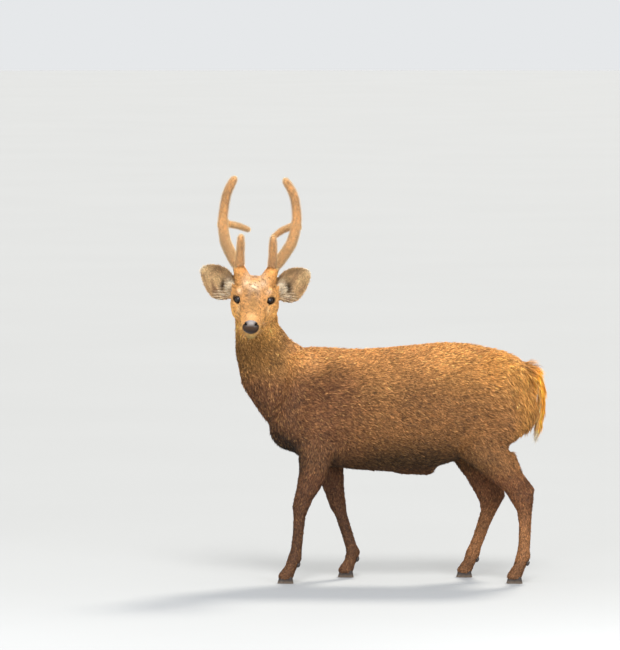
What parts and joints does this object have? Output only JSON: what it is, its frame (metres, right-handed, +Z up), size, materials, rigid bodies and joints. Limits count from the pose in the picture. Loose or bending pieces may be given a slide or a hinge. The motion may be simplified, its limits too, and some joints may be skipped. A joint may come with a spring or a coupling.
{
  "type": "hog deer stag in velvet",
  "caption": "Life-size standing hog deer stag in velvet, walking slowly with its head turned to its left.",
  "frame": {"origin": "on the floor under the middle of the stag's box", "axes": "+Z up; -X the way the body faces; -Y the stag's left side, to which the head is turned"},
  "size_m": [0.9846, 0.3874, 1.1589],
  "materials": {
    "coat": "short coarse brown fur, golden along the back",
    "face": "short tan fur",
    "ear": "thin fur, grey-white inside",
    "leg": "short dark brown fur",
    "velvet": "orange-brown velvet with a pale nap",
    "nose": "moist black skin",
    "eye": "wet dark eye",
    "horn": "dark hoof horn"
  },
  "bodies": {
    "root": {"torso": "coat", "neck": "coat", "tail": "coat", "head": "face", "nose": "nose", "ear_left": "ear", "eye_left": "eye", "antler_left_beam_low": "velvet", "antler_left_beam_top": "velvet", "antler_left_brow_tine": "velvet", "antler_left_inner_tine": "velvet", "ear_right": "ear", "eye_right": "eye", "antler_right_beam_low": "velvet", "antler_right_beam_top": "velvet", "antler_right_brow_tine": "velvet", "antler_right_inner_tine": "velvet", "foreleg_left_upper": "leg", "foreleg_left_lower": "leg", "foreleg_left_claw_inner": "horn", "foreleg_left_claw_outer": "horn", "foreleg_left_dewclaw_a": "horn", "foreleg_left_dewclaw_b": "horn", "foreleg_right_upper": "leg", "foreleg_right_lower": "leg", "foreleg_right_claw_inner": "horn", "foreleg_right_claw_outer": "horn", "foreleg_right_dewclaw_a": "horn", "foreleg_right_dewclaw_b": "horn", "hindleg_left_upper": "leg", "hindleg_left_lower": "leg", "hindleg_left_claw_inner": "horn", "hindleg_left_claw_outer": "horn", "hindleg_left_dewclaw_a": "horn", "hindleg_left_dewclaw_b": "horn", "hindleg_right_upper": "leg", "hindleg_right_lower": "leg", "hindleg_right_claw_inner": "horn", "hindleg_right_claw_outer": "horn", "hindleg_right_dewclaw_a": "horn", "hindleg_right_dewclaw_b": "horn"}
  },
  "joints": []
}
